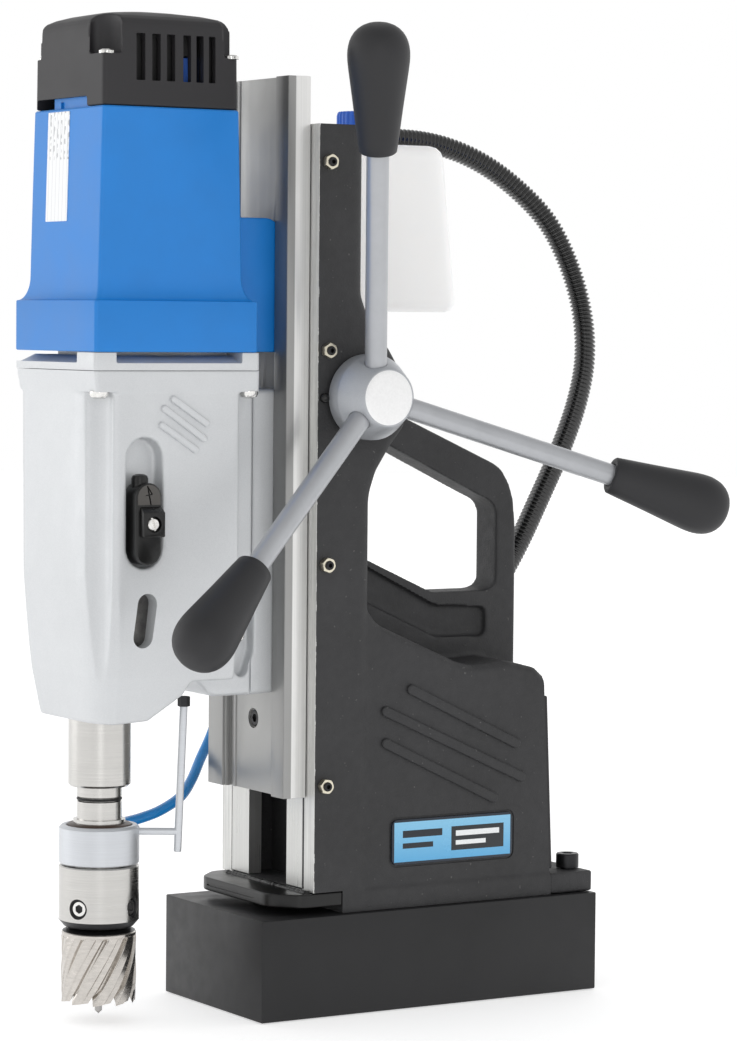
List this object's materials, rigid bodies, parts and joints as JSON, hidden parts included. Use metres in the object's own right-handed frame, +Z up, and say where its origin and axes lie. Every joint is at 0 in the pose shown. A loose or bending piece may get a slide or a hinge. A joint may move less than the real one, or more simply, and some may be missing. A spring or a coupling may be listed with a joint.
{
  "type": "magnetic drill press",
  "caption": "Portable magnetic core drilling machine: electromagnet foot, cast column with a carrying handle, capstan-fed motor and gearbox on a slide, core drill and coolant tank.",
  "frame": {"origin": "centre of the magnet's pole face, which stands on the work", "axes": "+Z up the column, -Y towards the spindle at the front, +X towards the capstan on the right"},
  "size_m": [0.2513, 0.4013, 0.545],
  "materials": {
    "black_casting": "matte textured powder coat",
    "magnet_paint": "satin",
    "grey_casting": "satin metallic paint",
    "slide_aluminium": "satin anodised",
    "machined_steel": "turned and ground",
    "black_plastic": "fine moulded texture",
    "blue_plastic": "fine moulded texture",
    "plate_blue": "gloss",
    "white_plastic": "translucent moulding",
    "bronze": "plain bearing bronze",
    "resin": "cast resin",
    "green_plastic": "gloss",
    "red_plastic": "gloss"
  },
  "bodies": {
    "column": {"magnet_core": "magnet_paint", "magnet_coil": "resin", "front_lip": "black_plastic", "foot_screw_left": "magnet_paint", "foot_screw_right": "magnet_paint", "column_casting": "black_casting", "guide_rail_left": "slide_aluminium", "guide_rail_right": "slide_aluminium", "gib_strip": "machined_steel", "gib_screw_1": "machined_steel", "gib_screw_2": "machined_steel", "gib_screw_3": "machined_steel", "gib_screw_4": "machined_steel", "capstan_bush_left": "bronze", "capstan_bush_right": "bronze", "name_plate": "plate_blue", "rear_cover": "black_casting", "control_board": "green_plastic", "control_panel": "black_plastic", "coolant_tank": "white_plastic", "coolant_tap": "black_plastic", "coolant_hose": "plate_blue", "motor_conduit": "black_plastic", "conduit_gland_lower": "black_plastic"},
    "carriage": {"slide_profile": "slide_aluminium", "rack": "machined_steel", "gearbox_housing": "grey_casting", "bearing_plate": "grey_casting", "spindle_bearing_upper": "machined_steel", "spindle_bearing_lower": "machined_steel", "motor_housing": "blue_plastic", "motor_cap": "black_plastic", "motor_stator": "machined_steel", "brush_holder_left": "bronze", "brush_holder_right": "bronze", "conduit_gland_upper": "black_plastic", "coolant_ring": "machined_steel", "stay_rod": "machined_steel"},
    "spindle_body": {"spindle": "machined_steel", "spindle_gear": "machined_steel", "tool_holder": "machined_steel", "core_drill": "machined_steel"},
    "armature_body": {"armature": "machined_steel", "cooling_fan": "black_plastic"},
    "layshaft_body": {"layshaft": "machined_steel"},
    "pilot_body": {"pilot_pin": "machined_steel"},
    "selector_body": {"gear_selector": "black_plastic"},
    "capstan": {"pinion_shaft": "machined_steel", "capstan_hub": "grey_casting", "capstan_arm_1": "grey_casting", "capstan_arm_2": "grey_casting", "capstan_arm_3": "grey_casting", "capstan_knob_1": "black_plastic", "capstan_knob_2": "black_plastic", "capstan_knob_3": "black_plastic"},
    "magnet_switch_body": {"magnet_switch": "red_plastic"},
    "start_button_body": {"start_button": "green_plastic"},
    "stop_button_body": {"stop_button": "red_plastic"},
    "tank_cap_body": {"tank_cap": "blue_plastic"},
    "tap_lever_body": {"tap_lever": "blue_plastic"}
  },
  "joints": [
    {"name": "carriage_feed", "type": "slide", "parent": "column", "child": "carriage", "axis": [0, 0, 1], "range_m": [-0.05, 0.205]},
    {"name": "capstan_turn", "type": "hinge", "parent": "column", "child": "capstan", "pos_m": [0, -0.0464, 0.3392], "axis": [1, 0, 0], "range_deg": [-980, 240]},
    {"name": "spindle_spin", "type": "hinge", "parent": "carriage", "child": "spindle_body", "pos_m": [0, -0.1809, 0.2], "axis": [0, 0, 1], "continuous": true},
    {"name": "armature_spin", "type": "hinge", "parent": "carriage", "child": "armature_body", "pos_m": [0, -0.16, 0.4], "axis": [0, 0, 1], "continuous": true},
    {"name": "layshaft_spin", "type": "hinge", "parent": "carriage", "child": "layshaft_body", "pos_m": [-0.02175, -0.1633, 0.32], "axis": [0, 0, 1], "continuous": true},
    {"name": "pilot_push", "type": "slide", "parent": "spindle_body", "child": "pilot_body", "axis": [0, 0, 1], "range_m": [0, 0.03], "stiffness_N_per_m": 120, "springref_m": -0.01},
    {"name": "gear_select", "type": "slide", "parent": "carriage", "child": "selector_body", "axis": [0, 0, 1], "range_m": [0, 0.016]},
    {"name": "magnet_rocker", "type": "hinge", "parent": "column", "child": "magnet_switch_body", "pos_m": [-0.0536, 0.003, 0.127], "axis": [0, 1, 0], "range_deg": [-8, 8]},
    {"name": "start_press", "type": "slide", "parent": "column", "child": "start_button_body", "axis": [1, 0, 0], "range_m": [0, 0.003], "stiffness_N_per_m": 400, "springref_m": -0.002},
    {"name": "stop_press", "type": "slide", "parent": "column", "child": "stop_button_body", "axis": [1, 0, 0], "range_m": [0, 0.003], "stiffness_N_per_m": 400, "springref_m": -0.002},
    {"name": "tank_cap_turn", "type": "hinge", "parent": "column", "child": "tank_cap_body", "pos_m": [-0.0718, 0.026, 0.495], "axis": [0, 0, 1], "range_deg": [0, 360]},
    {"name": "tap_turn", "type": "hinge", "parent": "column", "child": "tap_lever_body", "pos_m": [-0.071, -0.046, 0.373], "axis": [1, 0, 0], "range_deg": [0, 90]}
  ],
  "couplings": [
    {"joint": "capstan_turn", "follows": "carriage_feed", "rad_per_m": -83.333},
    {"joint": "layshaft_spin", "follows": "spindle_spin", "ratio": -2.0833},
    {"joint": "armature_spin", "follows": "spindle_spin", "ratio": 7.0833}
  ]
}
